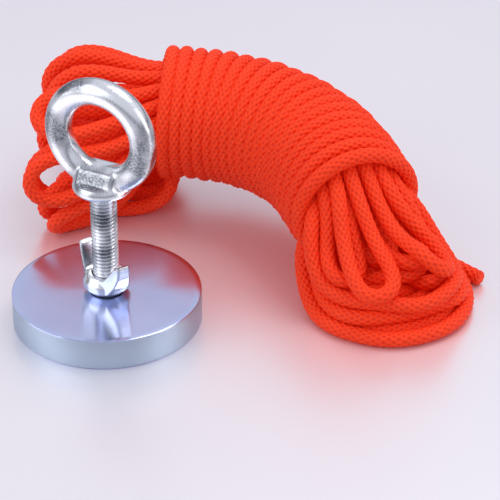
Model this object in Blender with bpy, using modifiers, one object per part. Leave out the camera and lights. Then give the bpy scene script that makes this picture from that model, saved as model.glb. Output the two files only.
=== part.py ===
"""Magnet fishing kit: a pot magnet with an eye bolt and a wing nut, beside a hank of braided rope.

Metres, +Z up. The origin is the centre of the magnet's pull face, which rests on the surface.
+Z runs up the bolt, and the bolt's eye ring lies in the XZ plane.
"""

import math

import bmesh
import bpy
from mathutils import Matrix, Vector

MM = 0.001

# clearances between neighbouring pieces
GAP = 0.3 * MM
THREAD_GAP = 0.3 * MM
MERGE = 0.00001

# steel pot
POT_RADIUS = 35.65 * MM
POT_HEIGHT = 12.3 * MM
POT_ROOF = 4.0 * MM
POT_WALL = 3.2 * MM
POT_RIM_CHAMFER = 0.5 * MM
POT_SEGMENTS = 72

# what the pot holds
BUSH_RADIUS = 9.0 * MM
BUSH_CHAMFER = 0.6 * MM
MAGNET_RECESS = 0.5 * MM
RESIN_RECESS = 0.8 * MM
OUTER_RESIN_WIDTH = 1.4 * MM
INNER_RESIN_WIDTH = 1.2 * MM
CORE_SEGMENTS = 48

# eye bolt
THREAD_RADIUS = 5.0 * MM
THREAD_PITCH = 1.5 * MM
THREAD_DEPTH = 0.85 * MM
THREAD_STEPS = 12
THREAD_END_CHAMFER = 0.9 * MM
BOLT_END_RECESS = 2.0 * MM
BOLT_EXPOSED = 42.9 * MM
COLLAR_SEAT_RADIUS = 8.6 * MM
COLLAR_RADIUS = 11.3 * MM
COLLAR_EDGE_RISE = 2.6 * MM
COLLAR_HEIGHT = 5.2 * MM
RING_RADIUS = 17.5 * MM
RING_TUBE_RADIUS = 5.0 * MM
NECK_BASE_HALF = 8.3 * MM
NECK_TOP_HALF_X = 7.4 * MM
NECK_TOP_HALF_Y = 5.0 * MM
NECK_ROUND = 1.2 * MM
RING_SEGMENTS = 40
RING_TUBE_SEGMENTS = 16
COLLAR_SEGMENTS = 36

# wing nut
NUT_BASE_RADIUS = 6.6 * MM
NUT_HUB_RADIUS = 8.8 * MM
NUT_TOP_RADIUS = 7.4 * MM
NUT_HUB_HEIGHT = 7.6 * MM
WING_HEIGHT = 16.0 * MM
WING_REACH = 13.5 * MM
WING_ROOT_HALF = 6.4 * MM
WING_TIP_HALF = 2.4 * MM
WING_EDGE_ROUND = 0.6 * MM
WING_ANGLE = math.radians(-30)
NUT_SEGMENTS = 36

# rope hank: the middle of the bundle, from its left loops to its right loops
ROPE_DIAMETER = 6.0 * MM
HANK_AXIS = [
    (-66 * MM, 52 * MM, 25 * MM),
    (-48 * MM, 71 * MM, 29 * MM),
    (-26 * MM, 89.5 * MM, 35.5 * MM),
    (9 * MM, 99 * MM, 36.5 * MM),
    (43 * MM, 91 * MM, 35 * MM),
    (72 * MM, 66 * MM, 32 * MM),
    (90 * MM, 44 * MM, 24 * MM),
    (106 * MM, 26 * MM, 13 * MM),
]
WRAP_FIRST_POINT = 2
WRAP_LAST_POINT = 5
WRAP_RADIUS = 26.5 * MM
LEFT_LOOP_RADIUS = 32.0 * MM
RIGHT_LOOP_RADIUS = 33.0 * MM
LOOP_END_FRACTION = 0.98
AXIS_SAMPLES = 5
HANK_STRAIGHT = 2.5 * MM
HANK_SIDES = 3

# the rope's loose tail on the surface, and how far up it is from that surface
TAIL_HEIGHT = 3.3 * MM
TAIL_ROUTE = [
    (92.0 * MM, 88.0 * MM),
    (98.5 * MM, 88.5 * MM),
    (105.5 * MM, 87.0 * MM),
    (112.0 * MM, 84.5 * MM),
    (118.5 * MM, 82.5 * MM),
]
TAIL_SAMPLES = 4
FLOOR_GAP = 0.2 * MM
FLOOR_SIZE = 0.6

# heights that follow from the sizes above
CAVITY_TOP = POT_HEIGHT - POT_ROOF
NUT_SEAT = POT_HEIGHT + GAP
COLLAR_SEAT = POT_HEIGHT + BOLT_EXPOSED
RING_CENTRE = COLLAR_SEAT + RING_RADIUS + RING_TUBE_RADIUS
NECK_TOP = RING_CENTRE - RING_RADIUS + RING_TUBE_RADIUS
BORE_RADIUS = THREAD_RADIUS + THREAD_GAP


def collection(name):
    group = bpy.data.collections.new(name)
    bpy.context.scene.collection.children.link(group)
    return group


def finish(name, colour, metallic, roughness):
    """A material with the piece's colour as linear red, green and blue."""
    material = bpy.data.materials.new(name)
    material.use_nodes = True
    shader = material.node_tree.nodes["Principled BSDF"]
    shader.inputs["Base Color"].default_value = (*colour, 1)
    shader.inputs["Metallic"].default_value = metallic
    shader.inputs["Roughness"].default_value = roughness
    return material


def add_object(name, mesh, group, material=None):
    obj = bpy.data.objects.new(name, mesh)
    group.objects.link(obj)
    if material:
        mesh.materials.append(material)
    return obj


def make_form(obj):
    """A form only shapes another object, so it is drawn as wire and never rendered."""
    obj.hide_render = True
    obj.display_type = "WIRE"
    return obj


def turned(name, profile, group, segments, material=None):
    """Turn a profile of (radius, height) points about Z. It runs down the outer side."""
    hollow = all(radius > 0 for radius, height in profile)
    edges = [(i, i + 1) for i in range(len(profile) - 1)]
    if hollow:
        edges.append((len(profile) - 1, 0))
    mesh = bpy.data.meshes.new(name)
    mesh.from_pydata([(radius, 0, height) for radius, height in profile], edges, [])
    obj = add_object(name, mesh, group, material)
    screw = obj.modifiers.new("turn", "SCREW")
    screw.steps = segments
    screw.render_steps = segments
    screw.use_merge_vertices = True
    screw.merge_threshold = MERGE
    screw.use_smooth_shade = True
    return obj


def combine(obj, other, operation):
    boolean = obj.modifiers.new(operation.lower(), "BOOLEAN")
    boolean.operation = operation
    boolean.solver = "EXACT"
    boolean.object = other
    return boolean


def realised(obj):
    """Give an object its evaluated mesh, with loose caps and seams welded, and drop its modifiers."""
    bpy.context.view_layer.update()
    evaluated = obj.evaluated_get(bpy.context.evaluated_depsgraph_get())
    mesh = bpy.data.meshes.new_from_object(evaluated)
    mesh.name = obj.name
    bm = bmesh.new()
    bm.from_mesh(mesh)
    bmesh.ops.remove_doubles(bm, verts=bm.verts, dist=MERGE)
    bmesh.ops.recalc_face_normals(bm, faces=bm.faces)
    bm.to_mesh(mesh)
    bm.free()
    made = bpy.data.objects.new(obj.name, mesh)
    for group in obj.users_collection:
        group.objects.link(made)
    made.matrix_world = obj.matrix_world
    name = obj.name
    bpy.data.objects.remove(obj)
    made.name = name
    return made


def smooth_route(points, samples):
    """Points on a smooth curve that passes through every given point."""
    ends = [2 * points[0] - points[1], *points, 2 * points[-1] - points[-2]]
    route = []
    for a, b, c, d in zip(ends, ends[1:], ends[2:], ends[3:]):
        for step in range(samples):
            t = step / samples
            along = (c - a) * t + (2 * a - 5 * b + 4 * c - d) * t ** 2 + (3 * b - a - 3 * c + d) * t ** 3
            route.append(b + along / 2)
    route.append(points[-1])
    return route


def tube(name, points, radii, group, material, sides):
    """A closed tube of varying radius along a list of points."""
    curve = bpy.data.curves.new(name, "CURVE")
    curve.dimensions = "3D"
    curve.bevel_depth = 1
    curve.bevel_resolution = sides
    curve.use_fill_caps = True
    spline = curve.splines.new("POLY")
    spline.points.add(len(points) - 1)
    for node, place, radius in zip(spline.points, points, radii):
        node.co = (*place, 1)
        node.radius = radius
    curve.materials.append(material)
    obj = bpy.data.objects.new(name, curve)
    group.objects.link(obj)
    return realised(obj)


def make_pot(group):
    """A turned steel cup, open below, with a hole for the bolt in its roof."""
    chamfer = POT_RIM_CHAMFER
    inner = POT_RADIUS - POT_WALL
    profile = [
        (BORE_RADIUS, POT_HEIGHT),
        (POT_RADIUS - chamfer, POT_HEIGHT),
        (POT_RADIUS, POT_HEIGHT - chamfer),
        (POT_RADIUS, chamfer),
        (POT_RADIUS - chamfer, 0),
        (inner, 0),
        (inner, CAVITY_TOP),
        (BORE_RADIUS, CAVITY_TOP),
    ]
    steel = finish("plated steel", (0.62, 0.66, 0.72), 1, 0.16)
    return turned("steel_pot", profile, group, POT_SEGMENTS, steel)


def make_bush(group):
    """The steel boss in the middle of the pull face, which takes the bolt's thread."""
    profile = [
        (BORE_RADIUS, CAVITY_TOP - GAP),
        (BUSH_RADIUS, CAVITY_TOP - GAP),
        (BUSH_RADIUS, BUSH_CHAMFER),
        (BUSH_RADIUS - BUSH_CHAMFER, 0),
        (BORE_RADIUS, 0),
    ]
    steel = finish("turned steel", (0.56, 0.58, 0.62), 1, 0.3)
    return turned("threaded_bush", profile, group, CORE_SEGMENTS, steel)


def make_ring(name, inner, outer, bottom, group, material):
    """A plain ring that stands inside the pot, a gap below its roof."""
    top = CAVITY_TOP - GAP
    profile = [(inner, top), (outer, top), (outer, bottom), (inner, bottom)]
    return turned(name, profile, group, CORE_SEGMENTS, material)


def make_pot_filling(group):
    """The ring magnet, and the resin that seals it to the pot's wall and to the bush."""
    wall = POT_RADIUS - POT_WALL
    magnet_outer = wall - OUTER_RESIN_WIDTH - 2 * GAP
    magnet_inner = BUSH_RADIUS + INNER_RESIN_WIDTH + 2 * GAP
    plate = finish("nickel plated magnet", (0.5, 0.5, 0.52), 1, 0.3)
    resin = finish("cast resin", (0.02, 0.02, 0.025), 0, 0.4)
    inner_resin = finish("cast resin around the bush", (0.02, 0.02, 0.025), 0, 0.4)
    make_ring("ring_magnet", magnet_inner, magnet_outer, MAGNET_RECESS, group, plate)
    make_ring("outer_resin_ring", magnet_outer + GAP, wall - GAP, RESIN_RECESS, group, resin)
    make_ring("inner_resin_ring", BUSH_RADIUS + GAP, magnet_inner - GAP, RESIN_RECESS, group, inner_resin)


def make_threaded_rod(bottom, top, forms):
    """A right-hand thread: one tooth wound up the rod, closed at both ends, then cut to length."""
    turns = math.ceil((top - bottom) / THREAD_PITCH) + 2
    root = THREAD_RADIUS - THREAD_DEPTH
    tooth = [(root, THREAD_PITCH), (THREAD_RADIUS, THREAD_PITCH / 2), (root, 0)]
    mesh = bpy.data.meshes.new("thread_form")
    mesh.from_pydata([(radius, 0, height) for radius, height in tooth], [(0, 1), (1, 2)], [])
    rod = add_object("thread_form", mesh, forms)
    rod.location.z = bottom - 1.5 * THREAD_PITCH
    winding = rod.modifiers.new("wind", "SCREW")
    winding.steps = THREAD_STEPS
    winding.render_steps = THREAD_STEPS
    winding.iterations = turns
    winding.screw_offset = THREAD_PITCH
    rod = realised(rod)
    bm = bmesh.new()
    bm.from_mesh(rod.data)
    middle = turns * THREAD_PITCH / 2
    for end, height in ((-1, THREAD_PITCH / 2), (1, (turns + 0.5) * THREAD_PITCH)):
        rim = [e for e in bm.edges if e.is_boundary and end * (e.verts[0].co.z - middle) > 0]
        capped = bmesh.ops.extrude_edge_only(bm, edges=rim)["geom"]
        inside = [v for v in capped if isinstance(v, bmesh.types.BMVert)]
        bmesh.ops.pointmerge(bm, verts=inside, merge_co=(0, 0, height))
    bmesh.ops.recalc_face_normals(bm, faces=bm.faces)
    bm.to_mesh(rod.data)
    bm.free()
    reach = THREAD_RADIUS + THREAD_DEPTH / 4
    blank = [(0, top), (reach, top), (reach, bottom + THREAD_END_CHAMFER)]
    blank += [(reach - THREAD_END_CHAMFER, bottom), (0, bottom)]
    combine(rod, make_form(turned("rod_blank", blank, forms, THREAD_STEPS * 2)), "INTERSECT")
    return make_form(rod)


def make_neck(forms):
    """The block between the collar and the ring, which narrows upwards to the ring's width."""
    bottom = COLLAR_SEAT + COLLAR_EDGE_RISE
    mesh = bpy.data.meshes.new("neck_form")
    bm = bmesh.new()
    bmesh.ops.create_cube(bm, size=2)
    for corner in bm.verts:
        upper = corner.co.z > 0
        half_x = NECK_TOP_HALF_X if upper else NECK_BASE_HALF
        half_y = NECK_TOP_HALF_Y if upper else NECK_BASE_HALF
        corner.co = (half_x * corner.co.x, half_y * corner.co.y, NECK_TOP if upper else bottom)
    bm.to_mesh(mesh)
    bm.free()
    neck = add_object("neck_form", mesh, forms)
    rounding = neck.modifiers.new("round", "BEVEL")
    rounding.width = NECK_ROUND
    rounding.segments = 2
    return make_form(neck)


def make_eye_bolt(group, forms):
    """One forging: threaded shank, collar, neck and eye ring."""
    round_points = 4
    profile = [(0, COLLAR_SEAT + COLLAR_HEIGHT), (NECK_TOP_HALF_X, COLLAR_SEAT + COLLAR_HEIGHT)]
    profile.append((COLLAR_RADIUS - NECK_ROUND, COLLAR_SEAT + COLLAR_HEIGHT - NECK_ROUND / 2))
    for step in range(round_points + 1):
        angle = math.pi / 2 * step / round_points
        spread = (COLLAR_RADIUS - COLLAR_SEAT_RADIUS) * math.cos(angle)
        drop = COLLAR_EDGE_RISE * (1 - math.sin(angle))
        profile.append((COLLAR_SEAT_RADIUS + spread, COLLAR_SEAT + drop))
    profile.append((0, COLLAR_SEAT))
    zinc = finish("zinc plated forging", (0.72, 0.74, 0.77), 1, 0.22)
    bolt = turned("eye_bolt", profile, group, COLLAR_SEGMENTS, zinc)

    bpy.ops.mesh.primitive_torus_add(
        location=(0, 0, RING_CENTRE),
        rotation=(math.pi / 2, 0, 0),
        major_radius=RING_RADIUS,
        minor_radius=RING_TUBE_RADIUS,
        major_segments=RING_SEGMENTS,
        minor_segments=RING_TUBE_SEGMENTS,
    )
    ring = bpy.context.object
    ring.name = "ring_form"
    for holder in ring.users_collection:
        holder.objects.unlink(ring)
    forms.objects.link(ring)

    rod = make_threaded_rod(BOLT_END_RECESS, COLLAR_SEAT + COLLAR_HEIGHT / 2, forms)
    combine(bolt, make_neck(forms), "UNION")
    combine(bolt, make_form(ring), "UNION")
    combine(bolt, rod, "UNION")
    return bolt


def make_wing(name, angle, forms):
    """A flat outline in the wing's own plane, given a thickness that narrows to its tip."""
    hub = NUT_HUB_HEIGHT
    outline = [
        (BORE_RADIUS * 0.7, hub * 0.25),
        (NUT_HUB_RADIUS * 0.9, hub * 0.25),
        (NUT_HUB_RADIUS + (WING_REACH - NUT_HUB_RADIUS) * 0.5, WING_HEIGHT * 0.4),
        (WING_REACH - WING_EDGE_ROUND, WING_HEIGHT * 0.66),
        (WING_REACH, WING_HEIGHT * 0.96),
        (WING_REACH - WING_EDGE_ROUND, WING_HEIGHT),
        (WING_REACH - WING_TIP_HALF, WING_HEIGHT * 0.95),
        (NUT_HUB_RADIUS, WING_HEIGHT * 0.72),
        (NUT_TOP_RADIUS - 2 * WING_EDGE_ROUND, hub * 1.08),
        (BORE_RADIUS * 0.7, hub * 0.95),
    ]
    curve = bpy.data.curves.new(name, "CURVE")
    curve.dimensions = "2D"
    curve.fill_mode = "BOTH"
    curve.extrude = WING_ROOT_HALF
    spline = curve.splines.new("POLY")
    spline.points.add(len(outline) - 1)
    for node, (reach, height) in zip(spline.points, outline):
        node.co = (reach, height, 0, 1)
    spline.use_cyclic_u = True
    wing = bpy.data.objects.new(name, curve)
    forms.objects.link(wing)
    standing = Matrix.Rotation(math.pi / 2, 4, "X")
    wing.matrix_world = Matrix.Translation((0, 0, NUT_SEAT)) @ Matrix.Rotation(angle, 4, "Z") @ standing
    wing = realised(wing)
    root = outline[0][0]
    for vertex in wing.data.vertices:
        share = (vertex.co.x - root) / (WING_REACH - root)
        vertex.co.z *= 1 + share * (WING_TIP_HALF / WING_ROOT_HALF - 1)
    rounding = wing.modifiers.new("round", "BEVEL")
    rounding.width = WING_EDGE_ROUND
    rounding.segments = 2
    return make_form(wing)


def make_wing_nut(group, forms):
    """A coned hub with two upright wings and a plain bore that clears the bolt's thread."""
    waist = NUT_HUB_HEIGHT * 0.3
    shoulder = NUT_HUB_HEIGHT * 0.62
    profile = [
        (0, NUT_SEAT + NUT_HUB_HEIGHT),
        (NUT_TOP_RADIUS - WING_EDGE_ROUND, NUT_SEAT + NUT_HUB_HEIGHT),
        (NUT_TOP_RADIUS, NUT_SEAT + NUT_HUB_HEIGHT - WING_EDGE_ROUND),
        (NUT_HUB_RADIUS, NUT_SEAT + shoulder),
        (NUT_HUB_RADIUS, NUT_SEAT + waist),
        (NUT_BASE_RADIUS, NUT_SEAT),
        (0, NUT_SEAT),
    ]
    zinc = finish("zinc plated casting", (0.76, 0.78, 0.8), 1, 0.2)
    nut = turned("wing_nut", profile, group, NUT_SEGMENTS, zinc)
    for name, angle in (("front_wing_form", WING_ANGLE), ("back_wing_form", WING_ANGLE + math.pi)):
        combine(nut, make_wing(name, angle, forms), "UNION")
    top = NUT_SEAT + WING_HEIGHT
    bottom = NUT_SEAT - GAP
    bore = [(0, top), (BORE_RADIUS, top), (BORE_RADIUS, bottom), (0, bottom)]
    combine(nut, make_form(turned("nut_bore", bore, forms, NUT_SEGMENTS)), "DIFFERENCE")
    return nut


def make_hank(group, forms):
    """The hank's outer shape: the wound middle, and the loops that swell out at both ends."""
    corners = [Vector(point) for point in HANK_AXIS]
    route = smooth_route(corners, AXIS_SAMPLES)
    first = WRAP_FIRST_POINT * AXIS_SAMPLES
    last = WRAP_LAST_POINT * AXIS_SAMPLES
    lead_in = (route[first + 1] - route[first - 1]).normalized()
    lead_out = (route[last + 1] - route[last - 1]).normalized()
    orange = (0.9, 0.08, 0.02)

    wound = [route[first], route[first] + HANK_STRAIGHT * lead_in]
    wound += route[first + 1:last]
    wound += [route[last] - HANK_STRAIGHT * lead_out, route[last]]
    cord = finish("braided cord, wound", orange, 0, 0.7)
    tube("rope_wraps", wound, [WRAP_RADIUS] * len(wound), group, cord, HANK_SIDES)

    floor = make_floor_form(forms)
    ends = (
        ("rope_loops_left", route[first], -lead_in, route[first - 1::-1], LEFT_LOOP_RADIUS),
        ("rope_loops_right", route[last], lead_out, route[last + 1:], RIGHT_LOOP_RADIUS),
    )
    for name, face, outward, beyond, radius in ends:
        start = face + GAP * outward
        points = [start, start + HANK_STRAIGHT * outward, *beyond]
        shares = [LOOP_END_FRACTION * step / (len(points) - 1) for step in range(len(points))]
        radii = [radius * math.sqrt(1 - share ** 3) for share in shares]
        cord = finish(name.replace("_", " "), orange, 0, 0.7)
        combine(tube(name, points, radii, group, cord, HANK_SIDES), floor, "DIFFERENCE")


def make_floor_form(forms):
    """A block below the surface, which flattens what rests there."""
    mesh = bpy.data.meshes.new("floor_form")
    bm = bmesh.new()
    bmesh.ops.create_cube(bm, size=FLOOR_SIZE)
    bm.to_mesh(mesh)
    bm.free()
    floor = add_object("floor_form", mesh, forms)
    floor.location.z = FLOOR_GAP - FLOOR_SIZE / 2
    return make_form(floor)


def make_tail(group):
    """The rope's loose end: a tube that curls on the surface beside the right-hand loops."""
    route = smooth_route([Vector((x, y, TAIL_HEIGHT)) for x, y in TAIL_ROUTE], TAIL_SAMPLES)
    radius = ROPE_DIAMETER / 2
    cord = finish("braided cord, loose end", (0.9, 0.08, 0.02), 0, 0.7)
    return tube("rope_tail", route, [radius] * len(route), group, cord, HANK_SIDES - 1)


def main():
    for obj in list(bpy.data.objects):
        bpy.data.objects.remove(obj)
    group = collection("magnet_fishing_magnet")
    forms = collection("forms")
    make_pot(group)
    make_bush(group)
    make_pot_filling(group)
    make_eye_bolt(group, forms)
    make_wing_nut(group, forms)
    make_hank(group, forms)
    make_tail(group)


main()
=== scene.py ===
"""Looks of a magnet fishing kit: plated pot magnet, zinc plated eye bolt and wing nut, and its rope."""

import math

import bmesh
import bpy
import numpy as np
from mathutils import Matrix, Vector


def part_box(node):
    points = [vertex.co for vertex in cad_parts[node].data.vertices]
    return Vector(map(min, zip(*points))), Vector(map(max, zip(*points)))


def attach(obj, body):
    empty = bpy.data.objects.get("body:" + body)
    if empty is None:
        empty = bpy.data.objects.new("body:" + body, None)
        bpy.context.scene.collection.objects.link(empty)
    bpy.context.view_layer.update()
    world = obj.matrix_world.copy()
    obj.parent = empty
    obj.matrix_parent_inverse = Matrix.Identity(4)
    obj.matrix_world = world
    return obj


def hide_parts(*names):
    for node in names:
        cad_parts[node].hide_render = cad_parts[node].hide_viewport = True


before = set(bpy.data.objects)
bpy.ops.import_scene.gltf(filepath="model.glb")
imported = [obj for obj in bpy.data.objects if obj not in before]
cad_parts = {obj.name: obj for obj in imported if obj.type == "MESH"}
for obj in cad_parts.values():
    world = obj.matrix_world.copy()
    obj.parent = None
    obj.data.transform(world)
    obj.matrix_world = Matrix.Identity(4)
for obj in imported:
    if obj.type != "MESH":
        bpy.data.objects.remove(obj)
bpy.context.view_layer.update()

bl_info = {
    "name": "Magnet Fishing Kit",
    "version": (1, 0, 0),
    "blender": (4, 5, 0),
    "location": "View3D > Sidebar > Magnet",
    "description": "Builds the visible pieces of a magnet fishing kit around its frame",
    "category": "Add Mesh",
}

MM = 0.001
POT_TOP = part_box("steel_pot")[1].z
POT_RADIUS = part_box("steel_pot")[1].x
BOLT_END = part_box("eye_bolt")[0].z
RING_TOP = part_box("eye_bolt")[1].z
NUT_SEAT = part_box("wing_nut")[0].z

# the hank's middle line, and the rope's loose tail on the surface, in metres in the frame
HANK_AXIS = [
    (-0.066, 0.052, 0.025),
    (-0.048, 0.071, 0.029),
    (-0.026, 0.0895, 0.0355),
    (0.009, 0.099, 0.0365),
    (0.043, 0.091, 0.035),
    (0.072, 0.066, 0.032),
    (0.090, 0.044, 0.024),
    (0.106, 0.026, 0.013),
]
WRAP_FIRST_POINT = 2
WRAP_LAST_POINT = 5
ROUTE_SAMPLES = 24
TAIL_ROUTE = [(0.092, 0.088), (0.0985, 0.0885), (0.1055, 0.087), (0.112, 0.0845), (0.1185, 0.0825)]
TAIL_HEIGHT = 0.0033

# how the rope is laid: the spacing of its strands and wraps, and how finely it is worked out
ROPE_DIAMETER = 6.0 * MM
STRAND_PITCH = 5.85 * MM
WRAP_PITCH = 5.95 * MM
WRAP_LINE = 23.5 * MM
WRAP_START = math.radians(200)
ROPE_STEP = 3.0 * MM
ROPE_RINGS = 6150
ROPE_SIDES = 16
START_REACH = 20 * MM

# millimetres along the wrapped stretch: the first wraps' lean, and where the strands stop in it
WRAP_LEAN = 6.0
STRANDS_FROM = 9
STRANDS_SHORT_OF_END = 5

# how each end's turns spread, rise, droop and lean as they leave the hank, and their reach in
# millimetres, which at the right is given for each row of strands, counted from the middle one
LEFT_TURN = {"spread": 0.3, "lift": 0.22, "droop": 1.5, "turned": 0.0, "flare": 0.48}
RIGHT_TURN = {"spread": 0.42, "lift": 0.35, "droop": 5.0, "turned": -0.2, "flare": 0.32}
LEFT_REACH = 57
RIGHT_REACH = {
    "nested": {-3: (54, 45), -2: (53, 43), -1: (52, 43, 34), 0: (51, 42, 33), 1: (49, 40, 31)},
    "beside": {2: (42, 36), 3: (47, 50)},
    "middle": 40,
}

# how the loose turns are let down, and the left end's share of the fall
SETTLE_ROUNDS = 320
FALL = 0.12 * MM
LAST_FALL = 0.03 * MM
LEFT_WEIGHT = 0.24

# a wing's outline, in millimetres out from the bolt and up from the nut's seat
WING_OUTLINE = [
    (3.7, 1.9), (7.9, 1.9), (11.15, 6.4), (12.9, 10.6), (13.5, 15.4),
    (12.9, 16.0), (11.1, 15.2), (8.8, 11.5), (6.2, 8.2), (3.7, 7.2),
]
BACK_WING_LEAN = 0.08

# sockets of a colour Mix node by place, because its names repeat
MIX_SHARE, MIX_A, MIX_B, MIX_OUT = 0, 6, 7, 2

# heights of the surround's darker band, as the sine of the angle above the floor
BAND_MIDDLE = 0.15
BAND_HALF = 0.03
BAND_FADED = 0.2


# ------------------------------------------------ colours and nodes


def linear(code):
    """An sRGB hex colour as linear red, green, blue and alpha."""
    parts = [int(code[i:i + 2], 16) / 255 for i in (1, 3, 5)]
    return [c / 12.92 if c <= 0.04045 else ((c + 0.055) / 1.055) ** 2.4 for c in parts] + [1.0]


def new_material(name):
    """A material with its node tree and its shader."""
    material = bpy.data.materials.new(name)
    material.use_nodes = True
    return material, material.node_tree, material.node_tree.nodes["Principled BSDF"]


def add_node(tree, kind, settings=(), links=()):
    """Add a node. Settings are its properties or unlinked inputs, and links feed its inputs."""
    made = tree.nodes.new(kind)
    for key, value in dict(settings).items():
        if hasattr(made, str(key)):
            setattr(made, key, value)
        else:
            made.inputs[key].default_value = value
    for key, socket in dict(links).items():
        tree.links.new(socket, made.inputs[key])
    return made


def set_shader(shader, **values):
    """Constants and links on the shader's own sockets."""
    for name, value in values.items():
        socket = shader.inputs[name.replace("_", " ")]
        if isinstance(value, bpy.types.NodeSocket):
            shader.id_data.links.new(value, socket)
        else:
            socket.default_value = value


# ------------------------------------------------ materials


def turned_zinc(name, light, dark, roughness, lathe_line, fan):
    """Blue passivated zinc over steel faced on a lathe: a mirror that smears across its fine rings."""
    material, tree, shader = new_material(name)
    place = add_node(tree, "ShaderNodeTexCoord").outputs["Object"]
    split = add_node(tree, "ShaderNodeSeparateXYZ", {}, {"Vector": place})
    links = {"X": split.outputs["X"], "Y": split.outputs["Y"]}
    flat = add_node(tree, "ShaderNodeCombineXYZ", {}, links)
    links = {0: flat.outputs["Vector"]}
    from_axis = add_node(tree, "ShaderNodeVectorMath", {"operation": "LENGTH"}, links)
    links = {"X": from_axis.outputs["Value"], "Z": split.outputs["Z"]}
    rings = add_node(tree, "ShaderNodeCombineXYZ", {}, links)
    settings = {"Scale": 1 / lathe_line, "Detail": 2.0}
    lines = add_node(tree, "ShaderNodeTexNoise", settings, {"Vector": rings.outputs["Vector"]})
    settings = {"Scale": 1 / (14 * MM), "Detail": 3.0}
    bloom = add_node(tree, "ShaderNodeTexNoise", settings, {"Vector": place})
    settings = {"data_type": "RGBA", MIX_A: linear(dark), MIX_B: linear(light)}
    shade = add_node(tree, "ShaderNodeMix", settings, {MIX_SHARE: bloom.outputs["Fac"]})
    settings = {"From Min": 0.3, "From Max": 0.7, "To Min": roughness[0], "To Max": roughness[1]}
    rough = add_node(tree, "ShaderNodeMapRange", settings, {"Value": lines.outputs["Fac"]})
    tangent = add_node(tree, "ShaderNodeTangent", {"direction_type": "RADIAL", "axis": "Z"})
    set_shader(shader, Base_Color=shade.outputs[MIX_OUT], Roughness=rough.outputs["Result"])
    set_shader(shader, Tangent=tangent.outputs["Tangent"], Metallic=1.0)
    set_shader(shader, Anisotropic=0.85, Anisotropic_Rotation=fan)
    return material


def bright_plate(name, light, dark, grain, strength, roughness):
    """Bright zinc or nickel over a rough blank: glossy, mottled by it, with dull grey clouds."""
    material, tree, shader = new_material(name)
    place = add_node(tree, "ShaderNodeTexCoord").outputs["Object"]
    settings = {"Scale": 1 / grain, "Detail": 5.0}
    mottle = add_node(tree, "ShaderNodeTexNoise", settings, {"Vector": place})
    settings = {"Scale": 1 / (13 * MM), "Detail": 1.5}
    cloud = add_node(tree, "ShaderNodeTexNoise", settings, {"Vector": place})
    settings = {"From Min": 0.46, "From Max": 0.62}
    grey = add_node(tree, "ShaderNodeMapRange", settings, {"Value": cloud.outputs["Fac"]})
    settings = {"From Min": 0.3, "From Max": 0.7, "To Min": 0.5, "To Max": 1.0}
    speckle = add_node(tree, "ShaderNodeMapRange", settings, {"Value": mottle.outputs["Fac"]})
    links = {0: grey.outputs["Result"], 1: speckle.outputs["Result"]}
    dull = add_node(tree, "ShaderNodeMath", {"operation": "MULTIPLY"}, links)
    settings = {"data_type": "RGBA", MIX_A: linear(light), MIX_B: linear(dark)}
    shade = add_node(tree, "ShaderNodeMix", settings, {MIX_SHARE: dull.outputs["Value"]})
    settings = {"From Min": 0.3, "From Max": 0.7, "To Min": roughness[0], "To Max": roughness[1]}
    rough = add_node(tree, "ShaderNodeMapRange", settings, {"Value": mottle.outputs["Fac"]})
    settings = {"Strength": strength, "Distance": 0.1 * grain}
    bump = add_node(tree, "ShaderNodeBump", settings, {"Height": mottle.outputs["Fac"]})
    set_shader(shader, Base_Color=shade.outputs[MIX_OUT], Roughness=rough.outputs["Result"])
    set_shader(shader, Normal=bump.outputs["Normal"], Metallic=1.0)
    return material


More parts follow.
